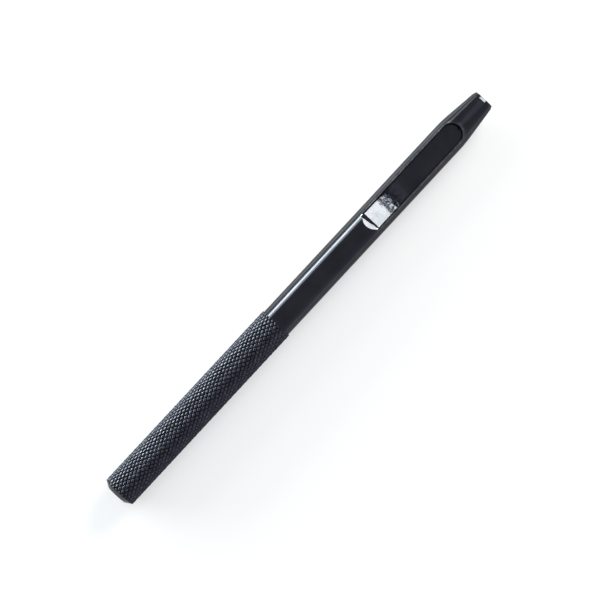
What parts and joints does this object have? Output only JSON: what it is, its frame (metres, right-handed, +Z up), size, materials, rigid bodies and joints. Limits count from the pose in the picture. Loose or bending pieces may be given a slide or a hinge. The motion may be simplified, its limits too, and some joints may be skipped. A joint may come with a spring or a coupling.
{
  "type": "oval hole punch",
  "caption": "Hand-held drive punch with a knurled handle, a plain shank with a slug window in its side, and a tapered tip that cuts an oval hole.",
  "frame": {"origin": "centre of the struck face, on the axis of the tool", "axes": "+X along the tool from the struck face to the cutting edge, +Z up through the slug window as the tool lies on a table, +Y across the tool along the longer measure of the oval hole"},
  "size_m": [0.1082, 0.0072, 0.0072],
  "materials": {
    "knurled_black_steel": "blackened steel with a sharp diamond knurl",
    "smooth_black_steel": "blackened steel, turned and polished to a gloss"
  },
  "bodies": {
    "root": {"knurled_handle": "knurled_black_steel", "punch_shank": "smooth_black_steel"}
  },
  "joints": []
}
